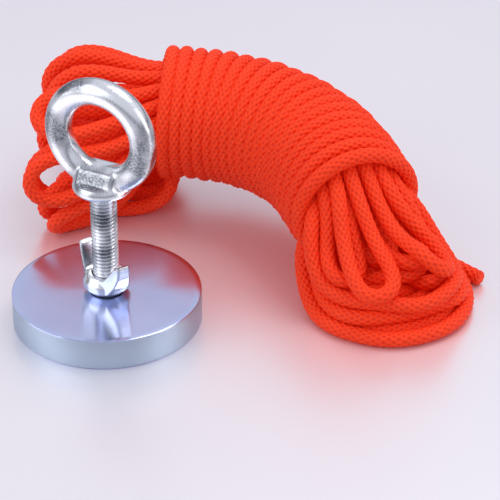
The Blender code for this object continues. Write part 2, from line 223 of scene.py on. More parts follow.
def braided_cord(look):
    """Fluorescent polypropylene, diamond braided: painted glow keeps it vivid in shade; painted shade
    darkens it between stitches.
    """
    # the stitches are drawn a little coarser than real ones, so that they show
    material, tree, shader = new_material("diamond_braided_polypropylene")
    cloth = add_node(tree, "ShaderNodeUVMap", {"uv_map": "braid"}).outputs["UV"]
    split = add_node(tree, "ShaderNodeSeparateXYZ", {}, {"Vector": cloth})
    waves = []
    for axis in ("X", "Y"):
        settings = {"operation": "MULTIPLY", 1: math.pi * ROPE_SIDES}
        turns = add_node(tree, "ShaderNodeMath", settings, {0: split.outputs[axis]})
        wave = add_node(tree, "ShaderNodeMath", {"operation": "COSINE"}, {0: turns.outputs["Value"]})
        waves.append(wave.outputs["Value"])
    crown = add_node(tree, "ShaderNodeMath", {"operation": "MULTIPLY"}, {0: waves[0], 1: waves[1]})
    place = add_node(tree, "ShaderNodeTexCoord").outputs["Object"]
    settings = {"Scale": 1 / (9 * MM), "Detail": 2.0}
    dye = add_node(tree, "ShaderNodeTexNoise", settings, {"Vector": place})
    settings = {"Scale": 1 / (0.5 * MM), "Detail": 3.0}
    fibre = add_node(tree, "ShaderNodeTexNoise", settings, {"Vector": place})
    settings = {"data_type": "RGBA", MIX_A: [*look.body_colour, 1.0], MIX_B: [*look.light_colour, 1.0]}
    body = add_node(tree, "ShaderNodeMix", settings, {MIX_SHARE: dye.outputs["Fac"]})
    # painted shade: the braid's valleys between the stitches are darkened in the colour, for the shade
    # that falls in them
    settings = {"From Min": -1.0, "From Max": 0.1, "To Min": 0.6, "To Max": 0.0}
    depth = add_node(tree, "ShaderNodeMapRange", settings, {"Value": crown.outputs["Value"]})
    settings = {"data_type": "RGBA", MIX_B: [*look.painted_valley_shade, 1.0]}
    links = {MIX_SHARE: depth.outputs["Result"], MIX_A: body.outputs[MIX_OUT]}
    shade = add_node(tree, "ShaderNodeMix", settings, links)
    settings = {"operation": "MULTIPLY_ADD", 1: 0.6}
    links = {0: fibre.outputs["Fac"], 2: crown.outputs["Value"]}
    height = add_node(tree, "ShaderNodeMath", settings, links)
    settings = {"Strength": 0.9, "Distance": 0.3 * MM}
    bump = add_node(tree, "ShaderNodeBump", settings, {"Height": height.outputs["Value"]})
    set_shader(shader, Base_Color=shade.outputs[MIX_OUT], Normal=bump.outputs["Normal"])
    set_shader(shader, Roughness=0.6, IOR=1.4, Specular_IOR_Level=0.35)
    set_shader(shader, Sheen_Weight=0.08, Sheen_Roughness=0.5, Sheen_Tint=linear("#ff9a70"))
    # painted light: a faint emission lifts the rope's shade, in place of the light its fluorescent dye
    # gives back
    set_shader(shader, Emission_Color=[*look.painted_glow_colour, 1.0], Emission_Strength=0.055)
    return material


def cast_resin():
    """Poured epoxy: black, level and glossy, with fine dust in it."""
    material, tree, shader = new_material("cast_epoxy_resin")
    place = add_node(tree, "ShaderNodeTexCoord").outputs["Object"]
    settings = {"Scale": 1 / (0.8 * MM), "Detail": 3.0}
    dust = add_node(tree, "ShaderNodeTexNoise", settings, {"Vector": place})
    settings = {"data_type": "RGBA", MIX_A: linear("#0c0c10"), MIX_B: linear("#1c1c22")}
    shade = add_node(tree, "ShaderNodeMix", settings, {MIX_SHARE: dust.outputs["Fac"]})
    settings = {"From Min": 0.3, "From Max": 0.7, "To Min": 0.22, "To Max": 0.4}
    rough = add_node(tree, "ShaderNodeMapRange", settings, {"Value": dust.outputs["Fac"]})
    settings = {"Strength": 0.2, "Distance": 0.1 * MM}
    bump = add_node(tree, "ShaderNodeBump", settings, {"Height": dust.outputs["Fac"]})
    set_shader(shader, Base_Color=shade.outputs[MIX_OUT], Roughness=rough.outputs["Result"])
    set_shader(shader, Normal=bump.outputs["Normal"], IOR=1.55)
    return material


def glossy_board():
    """White lacquered board: pale, faintly lilac, and glossy enough to mirror what stands on it."""
    material, tree, shader = new_material("white_lacquered_board")
    place = add_node(tree, "ShaderNodeTexCoord").outputs["Object"]
    settings = {"Scale": 1 / (150 * MM), "Detail": 2.0}
    cloud = add_node(tree, "ShaderNodeTexNoise", settings, {"Vector": place})
    settings = {"data_type": "RGBA", MIX_A: linear("#f0ecef"), MIX_B: linear("#f5f1f4")}
    shade = add_node(tree, "ShaderNodeMix", settings, {MIX_SHARE: cloud.outputs["Fac"]})
    settings = {"From Min": 0.3, "From Max": 0.7, "To Min": 0.32, "To Max": 0.34}
    rough = add_node(tree, "ShaderNodeMapRange", settings, {"Value": cloud.outputs["Fac"]})
    set_shader(shader, Base_Color=shade.outputs[MIX_OUT], Roughness=rough.outputs["Result"])
    set_shader(shader, Metallic=0.58)
    return material


# ------------------------------------------------ modelling helpers


def start_piece(name):
    """Name the primitive that was just added and open it for shaping."""
    obj = bpy.context.object
    obj.name = name
    obj.data.name = name
    bpy.ops.object.mode_set(mode="EDIT")
    return obj


def deselect():
    if bpy.context.object and bpy.context.object.mode != "OBJECT":
        bpy.ops.object.mode_set(mode="OBJECT")
    bpy.ops.object.select_all(action="DESELECT")


def select_only(obj):
    deselect()
    obj.select_set(True)
    bpy.context.view_layer.objects.active = obj


def settle(obj):
    """Put a piece's place in its mesh."""
    select_only(obj)
    bpy.ops.object.transform_apply(location=True, rotation=True, scale=True)


def lathe(name, profile, steps):
    """Draw a ring on through a profile of radii and heights, which ends where it began."""
    deselect()
    (radius, height), *rest = profile
    bpy.ops.mesh.primitive_circle_add(vertices=steps, radius=radius, location=(0, 0, height))
    obj = start_piece(name)
    bpy.ops.object.mode_set(mode="OBJECT")
    bpy.ops.object.transform_apply(location=True, rotation=True, scale=True)
    bpy.ops.object.mode_set(mode="EDIT")
    bpy.ops.mesh.select_all(action="SELECT")
    for next_radius, next_height in rest:
        rise, scale = next_height - height, next_radius / radius
        bpy.ops.mesh.extrude_region_move(TRANSFORM_OT_translate={"value": (0, 0, rise)})
        bpy.ops.transform.resize(value=(scale, scale, 1), center_override=(0, 0, next_height))
        radius, height = next_radius, next_height
    bpy.ops.mesh.select_all(action="SELECT")
    bpy.ops.mesh.remove_doubles(threshold=0.001 * MM)
    bpy.ops.mesh.normals_make_consistent(inside=False)
    settle(obj)
    return obj


def apply_modifier(obj, kind, **settings):
    select_only(obj)
    modifier = obj.modifiers.new(kind.lower(), kind)
    for key, value in settings.items():
        setattr(modifier, key, value)
    bpy.ops.object.modifier_apply(modifier=modifier.name)


def cut_or_join(obj, other, operation):
    """Take another solid from a piece, or add it, and use it up."""
    apply_modifier(obj, "BOOLEAN", object=other, operation=operation, solver="EXACT")
    bpy.data.objects.remove(other, do_unlink=True)


def smooth(obj, angle):
    select_only(obj)
    bpy.ops.object.shade_smooth_by_angle(angle=math.radians(angle))


def as_cast(obj, grain, rounds):
    """Round every edge and inner corner a little, as a forging or a casting has them."""
    apply_modifier(obj, "REMESH", mode="VOXEL", voxel_size=grain)
    apply_modifier(obj, "SMOOTH", factor=0.5, iterations=rounds)
    for face in obj.data.polygons:
        face.use_smooth = True


def dress(obj, material, body, nodes):
    """Give a piece its material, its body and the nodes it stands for."""
    obj.data.materials.clear()
    obj.data.materials.append(material)
    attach(obj, body)
    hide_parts(*nodes)


# ------------------------------------------------ magnet


def make_pot(look):
    """The turned cup: a faced top with a thin bevelled rim, a plain wall, and the cavity below."""
    top = POT_TOP
    edge = look.rim_bevel
    inner = POT_RADIUS - look.wall
    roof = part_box("ring_magnet")[1].z + look.gap
    bore = look.bore_radius
    profile = [
        (bore, top - look.dish - edge),
        (bore + edge, top - look.dish),
        *[(r, top - look.dish * (1 - (r / POT_RADIUS) ** 2)) for r in np.linspace(8 * MM, 33 * MM, 6)],
        (POT_RADIUS - edge, top),
        (POT_RADIUS - 0.3 * edge, top - 0.3 * edge),
        (POT_RADIUS, top - edge),
        (POT_RADIUS, edge),
        (POT_RADIUS - edge, 0),
        (inner + edge, 0),
        (inner, edge),
        (inner, roof),
        (bore, roof),
        (bore, top - look.dish - edge),
    ]
    pot = lathe("pot_cup", profile, 192)
    smooth(pot, 25)
    face = turned_zinc(
        "blue_zinc_over_faced_steel", "#cdd6f6", "#c1cbf0", (0.17, 0.2), lathe_line=0.45 * MM, fan=0.25
    )
    wall = turned_zinc(
        "blue_zinc_over_turned_steel", "#b6c5d6", "#a9b8ca", (0.3, 0.38), lathe_line=0.6 * MM, fan=0.0
    )
    dress(pot, face, "magnet", ["steel_pot"])
    pot.data.materials.append(wall)
    for polygon in pot.data.polygons:
        polygon.material_index = int(abs(polygon.normal.z) < 0.3)


def make_filling(look):
    """What the pull face shows inside the wall: magnet, resin and the boss round the bolt's hole."""
    edge = 0.3 * MM
    rows = [
        ("ring_magnet", "magnet_face", "magnet_plating"),
        ("outer_resin_ring", "outer_resin", "resin"),
        ("inner_resin_ring", "inner_resin", "resin"),
        ("threaded_bush", "threaded_boss", "turned_steel"),
    ]
    inner_radius = {
        "ring_magnet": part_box("inner_resin_ring")[1].x + look.gap,
        "outer_resin_ring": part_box("ring_magnet")[1].x + look.gap,
        "inner_resin_ring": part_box("threaded_bush")[1].x + look.gap,
        "threaded_bush": look.bore_radius,
    }
    nickel = bright_plate("nickel_plated_neodymium", "#c9cbd0", "#b4b7bd", 0.9 * MM, 0.1, (0.16, 0.26))
    steel = bright_plate("nickel_plated_turned_boss", "#c2c6ce", "#aeb2bb", 0.7 * MM, 0.15, (0.18, 0.3))
    resin = cast_resin()
    for node, name, slot in rows:
        low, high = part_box(node)
        r0, r1 = inner_radius[node], high.x
        profile = [
            (r0, high.z),
            (r1, high.z),
            (r1, low.z + edge),
            (r1 - edge, low.z),
            (r0 + edge, low.z),
            (r0, low.z + edge),
            (r0, high.z),
        ]
        piece = lathe(name, profile, 128)
        smooth(piece, 25)
        material = {"magnet_plating": nickel, "resin": resin, "turned_steel": steel}[slot]
        dress(piece, material, "magnet", [node])


# ------------------------------------------------ eye bolt


def make_thread(look, bottom, top):
    """One tooth wound up the rod and cut to length."""
    deselect()
    pitch, root, crest = look.pitch, look.thread_radius - look.thread_depth, look.thread_radius
    bpy.ops.mesh.primitive_circle_add(vertices=4, radius=pitch, location=(root, 0, 0))
    obj = start_piece("thread")
    bpy.ops.object.mode_set(mode="OBJECT")
    bpy.ops.object.transform_apply(location=True)
    section = [(root, 0.0), (crest, 0.42 * pitch), (crest, 0.58 * pitch), (root, pitch)]
    bm = bmesh.new()
    corners = [bm.verts.new((r, 0, z + bottom - 2 * pitch)) for r, z in section]
    for a, b in zip(corners, corners[1:]):
        bm.edges.new((a, b))
    bm.to_mesh(obj.data)
    bm.free()
    turns = math.ceil((top - bottom) / pitch) + 4
    apply_modifier(
        obj,
        "SCREW",
        steps=48,
        render_steps=48,
        iterations=turns,
        screw_offset=pitch,
        use_merge_vertices=True,
        merge_threshold=0.001 * MM,
    )
    bpy.ops.object.mode_set(mode="EDIT")
    for height, outer, inner in ((bottom, False, True), (top, True, False)):
        bpy.ops.mesh.select_all(action="SELECT")
        bpy.ops.mesh.bisect(
            plane_co=(0, 0, height),
            plane_no=(0, 0, 1),
            use_fill=True,
            clear_outer=outer,
            clear_inner=inner,
        )
    bpy.ops.mesh.select_all(action="SELECT")
    bpy.ops.mesh.normals_make_consistent(inside=False)
    bpy.ops.object.mode_set(mode="OBJECT")
    smooth(obj, 28)
    return obj


def make_neck(look, bottom, top):
    """The block under the ring: a cube drawn in towards its top and rounded."""
    deselect()
    middle = (bottom + top) / 2
    width = 2 * look.neck_half
    bpy.ops.mesh.primitive_cube_add(size=1, location=(0, 0, middle), scale=(width, width, top - bottom))
    obj = start_piece("neck")
    settle(obj)
    bpy.ops.object.mode_set(mode="EDIT")
    bpy.ops.mesh.select_all(action="DESELECT")
    select_faces(obj, lambda face: face.normal.z > 0.9)
    bpy.ops.transform.resize(
        value=(look.neck_top_x / look.neck_half, look.neck_top_y / look.neck_half, 1),
        center_override=(0, 0, top),
    )
    bpy.ops.mesh.select_all(action="SELECT")
    bpy.ops.mesh.bevel(offset=look.neck_round, segments=3)
    settle(obj)
    return obj


def select_faces(obj, wanted):
    """Select the faces of the open piece that pass a test."""
    bm = bmesh.from_edit_mesh(obj.data)
    for face in bm.faces:
        face.select_set(wanted(face))
    bmesh.update_edit_mesh(obj.data)


def make_eye_bolt(look):
    """Shank, collar, neck and ring: the upper part is one forging, and the thread is cut below it."""
    seat = look.collar_seat
    rise = look.collar_edge_rise
    collar = [(0.2 * MM, seat)]
    bulge = look.collar_radius - look.collar_seat_radius
    for step in range(9):
        angle = math.pi / 2 * step / 8
        radius = look.collar_seat_radius + bulge * math.sin(angle)
        collar.append((radius, seat + rise * (1 - math.cos(angle))))
    collar.append((look.collar_radius - 1.0 * MM, seat + look.collar_height - 0.5 * MM))
    collar.append((look.neck_top_x, seat + look.collar_height))
    collar.append((0.2 * MM, seat + look.collar_height))
    collar.append((0.2 * MM, seat))
    head = lathe("eye_bolt_head", collar, 96)
    centre = RING_TOP - look.ring_radius - look.ring_tube
    deselect()
    bpy.ops.mesh.primitive_torus_add(
        location=(0, 0, centre),
        rotation=(math.pi / 2, 0, 0),
        major_radius=look.ring_radius,
        minor_radius=look.ring_tube,
        major_segments=128,
        minor_segments=48,
    )
    ring = start_piece("ring")
    settle(ring)
    neck = make_neck(look, seat + rise, centre - look.ring_radius + look.ring_tube)
    deselect()
    middle = (0, 0, seat + look.collar_height / 2)
    bpy.ops.mesh.primitive_cylinder_add(
        vertices=48, radius=0.6 * MM, depth=look.collar_height, location=middle
    )
    plug = start_piece("plug")
    settle(plug)
    for part in (plug, neck, ring):
        cut_or_join(head, part, "UNION")
    as_cast(head, grain=0.38 * MM, rounds=22)
    thread = make_thread(look, BOLT_END, seat + rise)
    select_only(head)
    thread.select_set(True)
    bpy.ops.object.join()
    zinc = bright_plate(
        "bright_zinc_over_forged_steel", "#e8ebef", "#5c626b", 0.7 * MM, 0.14, (0.18, 0.32)
    )
    dress(head, zinc, "eye_bolt", ["eye_bolt"])


# ------------------------------------------------ wing nut


def make_wing(look, angle, lean):
    """The wing's outline, drawn out to its width and thinned towards its tip."""
    deselect()
    corners = len(WING_OUTLINE)
    bpy.ops.mesh.primitive_circle_add(vertices=corners, radius=look.wing_reach, fill_type="NGON")
    obj = start_piece("wing")
    bm = bmesh.from_edit_mesh(obj.data)
    bm.verts.ensure_lookup_table()
    for vertex, (reach, height) in zip(bm.verts, WING_OUTLINE):
        vertex.co = (reach * MM, -look.wing_root_half, height * MM)
    bmesh.update_edit_mesh(obj.data)
    bpy.ops.mesh.select_all(action="SELECT")
    bpy.ops.mesh.extrude_region_move(TRANSFORM_OT_translate={"value": (0, 2 * look.wing_root_half, 0)})
    bpy.ops.mesh.select_all(action="SELECT")
    bpy.ops.mesh.normals_make_consistent(inside=False)
    bm = bmesh.from_edit_mesh(obj.data)
    root = WING_OUTLINE[0][0] * MM
    for vertex in bm.verts:
        share = (vertex.co.x - root) / (look.wing_reach - root)
        vertex.co.y *= 1 + share * (look.wing_tip_half / look.wing_root_half - 1)
        vertex.co.y += lean * vertex.co.z
    bmesh.update_edit_mesh(obj.data)
    bpy.ops.mesh.select_all(action="SELECT")
    bpy.ops.mesh.bevel(offset=look.wing_round, segments=2)
    bpy.ops.object.mode_set(mode="OBJECT")
    obj.rotation_euler.z = angle
    obj.location.z = NUT_SEAT
    settle(obj)
    return obj


def make_wing_nut(look):
    """A coned hub with two upright wings, cast in one piece, with a bore for the bolt."""
    hub = look.hub_height
    profile = [
        (0.2 * MM, NUT_SEAT + hub),
        (look.hub_top - 0.6 * MM, NUT_SEAT + hub),
        (look.hub_top, NUT_SEAT + hub - 0.6 * MM),
        (look.hub_radius, NUT_SEAT + 0.62 * hub),
        (look.hub_radius, NUT_SEAT + 0.3 * hub),
        (look.hub_base, NUT_SEAT),
        (0.2 * MM, NUT_SEAT),
        (0.2 * MM, NUT_SEAT + hub),
    ]
    nut = lathe("wing_nut_casting", profile, 96)
    for angle, lean in ((look.wing_angle, 0.0), (look.wing_angle + math.pi, BACK_WING_LEAN)):
        cut_or_join(nut, make_wing(look, angle, lean), "UNION")
    deselect()
    bpy.ops.mesh.primitive_cylinder_add(
        vertices=96, radius=look.nut_bore, depth=4 * hub, location=(0, 0, NUT_SEAT + hub / 2)
    )
    bore = start_piece("bore")
    settle(bore)
    cut_or_join(nut, bore, "DIFFERENCE")
    as_cast(nut, grain=0.22 * MM, rounds=12)
    name = "bright_zinc_over_cast_zinc"
    zinc = bright_plate(name, "#e8eaee", "#80858e", 0.7 * MM, 0.14, (0.15, 0.28))
    dress(nut, zinc, "wing_nut", ["wing_nut"])


# ------------------------------------------------ rope


def smooth_route(points, samples):
    """Points on a smooth curve that passes through every given point."""
    points = [np.array(p, float) for p in points]
    ends = [2 * points[0] - points[1], *points, 2 * points[-1] - points[-2]]
    route = []
    for a, b, c, d in zip(ends, ends[1:], ends[2:], ends[3:]):
        for step in range(samples):
            t = step / samples
            bend, twist = 2 * a - 5 * b + 4 * c - d, 3 * b - a - 3 * c + d
            along = (c - a) * t + bend * t ** 2 + twist * t ** 3
            route.append(b + along / 2)
    route.append(points[-1])
    return np.array(route)


def even_steps(line, step):
    """The same line with evenly spaced points."""
    line = np.asarray(line, float)
    gone = np.concatenate([[0], np.cumsum(np.linalg.norm(np.diff(line, axis=0), axis=1))])
    count = max(2, int(round(gone[-1] / step)) + 1)
    at = np.linspace(0, gone[-1], count)
    return np.stack([np.interp(at, gone, line[:, k]) for k in range(3)], 1)


def unit(vector):
    """The same direction or directions, one metre long."""
    return vector / np.linalg.norm(vector, axis=-1, keepdims=True)


def hook(start, out, end, back, reach):
    """A turn that leaves start along out and comes in to end from along back."""
    t = np.linspace(0, 1, 60)[:, None]
    far, near = start + out * reach, end + back * reach
    leaving = (1 - t) ** 3 * start + 3 * (1 - t) ** 2 * t * far
    return leaving + 3 * (1 - t) * t * t * near + t ** 3 * end


def hank_frames():
    """Middle line of the wrapped stretch, with its directions along, up and to the front."""
    whole = smooth_route(HANK_AXIS, ROUTE_SAMPLES)
    first, last = WRAP_FIRST_POINT * ROUTE_SAMPLES, WRAP_LAST_POINT * ROUTE_SAMPLES
    line = even_steps(whole[first:last + 1], MM)
    along = unit(np.gradient(line, axis=0))
    up = unit(np.array([0, 0, 1.0]) - along * along[:, 2:3])
    return line, along, up, np.cross(along, up)


def strand_places():
    """Row, place across and place up of each strand: seven rows, pressed into round rings."""
    places = []
    for row in range(-3, 4):
        count = 7 - abs(row)
        for j in range(count):
            across, up = j - (count - 1) / 2, row * math.sqrt(0.75)
            ring = max(abs(row), round(abs(across) + abs(row) / 2))
            share = math.pi / 3 / max(ring, 1)
            angle = round(math.atan2(up, across) / share) * share
            radius = ring * STRAND_PITCH
            places.append((row, radius * math.cos(angle), radius * math.sin(angle)))
    return places


def right_pairs(places):
    """Which strands turn back into which at the right end, and how far out each turn reaches."""
    rows = {}
    for i, (row, _, _) in enumerate(places):
        rows.setdefault(row, []).append(i)
    nested, beside = RIGHT_REACH["nested"], RIGHT_REACH["beside"]
    pairs, left_over = [], []
    for row, ids in rows.items():
        count = len(ids)
        if row in nested:
            for k, reach in enumerate(nested[row]):
                if k < count // 2:
                    pairs.append((ids[k], ids[count - 1 - k], reach * MM))
            if count % 2:
                left_over.append(ids[count // 2])
        else:
            if count % 2:
                left_over.append(ids.pop(0))
            for k, reach in enumerate(beside[row]):
                pairs.append((ids[2 * k], ids[2 * k + 1], reach * MM))
    start, middle, upper = left_over
    pairs.append((middle, upper, RIGHT_REACH["middle"] * MM))
    return pairs, start


def left_pairs(places, pairs, start, rng):
    """Pairs for the left end, mostly one above the other, that make all the strands one rope."""
    across = {}
    for a, b, _ in pairs:
        across[a], across[b] = b, a

    def cost_of(a, b):
        (_, s, u), (_, t, v) = places[a], places[b]
        return (abs(s - t) / STRAND_PITCH * 1.5) ** 2 + (abs(u - v) / STRAND_PITCH - 1.8) ** 2

    def reached(match):
        mate = {}
        for a, b in match:
            mate[a], mate[b] = b, a
        count, now = 1, start
        while now in mate and mate[now] in across:
            now = across[mate[now]]
            count += 2
        return count + (now in mate)

    def total(match, last):
        row, s, _ = places[last]
        cost = sum(cost_of(a, b) for a, b in match)
        cost += 0.6 * abs(row - 3) + (s / STRAND_PITCH + 1) ** 2
        return cost + 3.0 * (len(places) - reached(match))

    ids = list(range(len(places)))
    rng.shuffle(ids)
    last = ids.pop()
    match = [list(pair) for pair in zip(ids[::2], ids[1::2])]
    best = total(match, last)
    tries = 12000
    for k in range(tries):
        heat = 3.0 * (1 - k / tries) ** 2 + 0.01
        i, j = rng.integers(0, len(match), 2)
        trial, trial_last = [list(pair) for pair in match], last
        if i == j:
            side = rng.integers(0, 2)
            trial_last, trial[i][side] = trial[i][side], trial_last
        else:
            a, b = rng.integers(0, 2, 2)
            trial[i][a], trial[j][b] = trial[j][b], trial[i][a]
        cost = total(trial, trial_last)
        if cost < best or rng.random() < math.exp((best - cost) / heat):
            match, last, best = trial, trial_last, cost
    if reached(match) != len(places):
        raise RuntimeError("the strands don't make one rope")
    return match


def bight(centre, out, up, side, first, second, reach, spread, lift, droop, turned, flare):
    """A turn from one strand to another at an end of the hank, fanned out, and falling as it goes."""
    def leg(place, r):
        s, u = place
        fan = turned + spread * s / (3 * STRAND_PITCH)
        rise = lift * u / (3 * STRAND_PITCH)
        ahead = r * math.cos(fan) * math.cos(rise)
        swell = 1 + flare * (1 - math.exp(-r / (6 * MM)))
        height = u * swell + r * math.sin(rise) - droop * r * r
        return np.array([ahead, s * swell + r * math.sin(fan), height])

    width = np.linalg.norm((leg(first, reach) - leg(second, reach))[1:])
    back_off = min(0.5 * max(width, 2 * ROPE_DIAMETER), 0.6 * reach)
    join = reach - back_off
    a, b = leg(first, join), leg(second, join)
    out_a, out_b = unit(leg(first, join + MM) - a), unit(leg(second, join + MM) - b)
    turn = hook(a, out_a, b, out_b, back_off * 4 / 3)
    there = [leg(first, r) for r in np.linspace(0, join, 60)]
    back = [leg(second, r) for r in np.linspace(join, 0, 60)]
    points = np.array([*there, *turn[1:-1], *back])
    return centre + points[:, :1] * out + points[:, 1:2] * side + points[:, 2:] * up


def lay_rope(rng):
    """The whole rope as wound: points a few millimetres apart, and which of them are held."""
    places = strand_places()
    pairs, start = right_pairs(places)
    right, left = {}, {}
    for a, b, reach in pairs:
        right[a], right[b] = (b, reach), (a, reach)
    for a, b in left_pairs(places, pairs, start, rng):
        left[a], left[b] = b, a
    line, along, up, front = hank_frames()
    swell = np.linspace(1, 0, len(line))[:, None] ** 2
    line = line + up * swell * 3.0 * MM
    lf, rf = STRANDS_FROM, len(line) - STRANDS_SHORT_OF_END
    route, held = [], []

    def add(points, hold):
        points = list(points)
        if route and np.linalg.norm(route[-1] - points[0]) < ROPE_STEP / 2:
            points = points[1:]
        route.extend(points)
        held.extend([hold] * len(points))

    def add_strand(strand, leftwards):
        _, s, u = places[strand]
        points = even_steps((line + front * s + up * u)[lf:rf + 1], ROPE_STEP)
        add(points[::-1] if leftwards else points, True)

    _, s, u = places[start]
    end = line[rf] + front[rf] * s + up[rf] * u
    add(even_steps([end + along[rf] * START_REACH, end + along[rf] * MM], ROPE_STEP), False)
    strand = start
    while True:
        add_strand(strand, True)
        if strand not in left:
            break
        following = left[strand]
        first, second = places[strand][1:], places[following][1:]
        height = (first[1] + second[1]) / 2 / MM
        shorter = (0.25 if height > 0 else 0.7) * abs(height)
        reach = (LEFT_REACH - shorter + rng.uniform(-6, 3)) * MM
        turn = bight(line[lf], -along[0], up[lf], front[lf], first, second, reach, **LEFT_TURN)
        add(even_steps(turn, ROPE_STEP)[1:-1], False)
        add_strand(following, False)
        strand, reach = right[following]
        first, second = places[following][1:], places[strand][1:]
        reach += rng.uniform(0, 4) * MM
        turn = bight(line[rf], along[rf], up[rf], front[rf], first, second, reach, **RIGHT_TURN)
        add(even_steps(turn, ROPE_STEP)[1:-1], False)

    turns = len(line) * MM / WRAP_PITCH
    share = np.linspace(0, 1, int(turns * 60))
    angle = WRAP_START + share * turns * 2 * math.pi
    at = share * (len(line) - 1) + WRAP_LEAN * np.cos(angle) * (1 - share) ** 6
    knots = np.arange(len(line))

    def along_hank(values):
        return np.stack([np.interp(at, knots, values[:, k]) for k in range(3)], 1)

    # the wraps lie a little unevenly, and looser where they begin
    radius = (WRAP_LINE + 0.35 * MM * np.sin(angle * 0.37 + 1) * np.sin(angle * 1.3))[:, None]
    radius += 0.5 * MM * (1 - share[:, None]) ** 2
    spokes = along_hank(up) * np.cos(angle)[:, None] + along_hank(front) * np.sin(angle)[:, None]
    wraps = even_steps(along_hank(line) + spokes * radius, ROPE_STEP)
    onto = hook(route[-1], -along[lf], wraps[0], unit(wraps[0] - wraps[1]), 26 * MM)
    add(even_steps(onto, ROPE_STEP)[1:-1], False)
    add(wraps, True)
    tail = smooth_route([(x, y, TAIL_HEIGHT) for x, y in TAIL_ROUTE], 8)
    off = hook(wraps[-1], unit(wraps[-1] - wraps[-2]), tail[0], unit(tail[0] - tail[1]), 14 * MM)
    add(even_steps(off, ROPE_STEP)[1:-1], False)
    add(even_steps(tail, ROPE_STEP), True)
    return np.array(route), np.array(held)


def settle_rope(points, held):
    """Let the loose turns fall, bend and press on each other until they lie still."""
    points = points.copy()
    loose = np.where(held, 0.0, 1.0)
    weight = np.where(points[:, 0] < 0, LEFT_WEIGHT, 1.0)
    free = np.where(~held)[0]
    ids = np.arange(len(points))
    rest = np.linalg.norm(np.diff(points, axis=0), axis=1)
    apart = 0.99 * ROPE_DIAMETER
    for step in range(SETTLE_ROUNDS):
        fall = FALL if step < 0.8 * SETTLE_ROUNDS else LAST_FALL
        points[free, 2] -= fall * weight[free]
        if step % 8 == 0:
            moving, every = points[free].astype(np.float32), points.astype(np.float32)
            square = (moving ** 2).sum(1)[:, None] + (every ** 2).sum(1) - 2 * moving @ every.T
            rows, others = np.where(square < (apart + 2.5 * MM) ** 2)
            first = free[rows]
            keep = (np.abs(first - others) > 3) & ((loose[others] == 0) | (first < others))
            first, others = first[keep], others[keep]
        for _ in range(3):
            way = points[others] - points[first]
            far = np.linalg.norm(way, axis=1) + 1e-9
            near = far < apart
            a, b = first[near], others[near]
            push = way[near] * (0.7 * (far[near] - apart) / far[near] / (loose[a] + loose[b]))[:, None]
            move, count = np.zeros_like(points), np.zeros(len(points))
            np.add.at(move, a, push * loose[a][:, None])
            np.add.at(move, b, -push * loose[b][:, None])
            np.add.at(count, a, 1)
            np.add.at(count, b, 1)
            points += move / np.maximum(1, count * 0.55)[:, None]
            pull, ease = np.zeros_like(points), np.zeros_like(points)
            pull[1:-1] = (points[:-2] + points[2:]) / 2 - points[1:-1]
            ease[1:-1] = pull[1:-1] - (pull[:-2] + pull[2:]) / 2
            points += (0.35 * ease + 0.02 * pull) * loose[:, None]
            for parity in (0, 1):
                s = ids[parity:-1:2]
                way = points[s + 1] - points[s]
                far = np.linalg.norm(way, axis=1) + 1e-9
                give = np.maximum(loose[s] + loose[s + 1], 1)
                fix = way * ((far - rest[s]) / far / give)[:, None]
                points[s] += fix * loose[s][:, None]
                points[s + 1] -= fix * loose[s + 1][:, None]
            points[free, 2] = np.maximum(points[free, 2], ROPE_DIAMETER / 2)
    return points


def blunt_end(inner, tip):
    """Two more points just inside the tip, for a melted end's rounded rim."""
    way = unit(inner - tip)
    return [tip + way * 0.35 * MM, tip + way * 1.0 * MM]


def rope_surface(points, look):
    """A tube round the line whose corners stand in and out by turns, as the braid's stitches do."""
    along = unit(np.gradient(points, axis=0))
    frames = []
    across = unit(np.cross(along[0], [0.3, 0.2, 1.0]))
    for direction in along:
        across = unit(across - direction * (across @ direction))
        frames.append(across)
    across = np.array(frames)
    other = np.cross(along, across)
    rings = len(points)
    turn = np.arange(ROPE_SIDES) / ROPE_SIDES * 2 * math.pi
    parity = 1 - 2 * ((np.arange(rings)[:, None] + np.arange(ROPE_SIDES)) % 2)
    radius = look.diameter / 2 - look.relief + parity * look.relief
    radius[[0, -1]] *= 0.55
    radius[[1, -2]] *= 0.9
    spokes = across[:, None] * np.cos(turn)[:, None] + other[:, None] * np.sin(turn)[:, None]
    corners = points[:, None] + spokes * radius[:, :, None]
    return corners.reshape(-1, 3)


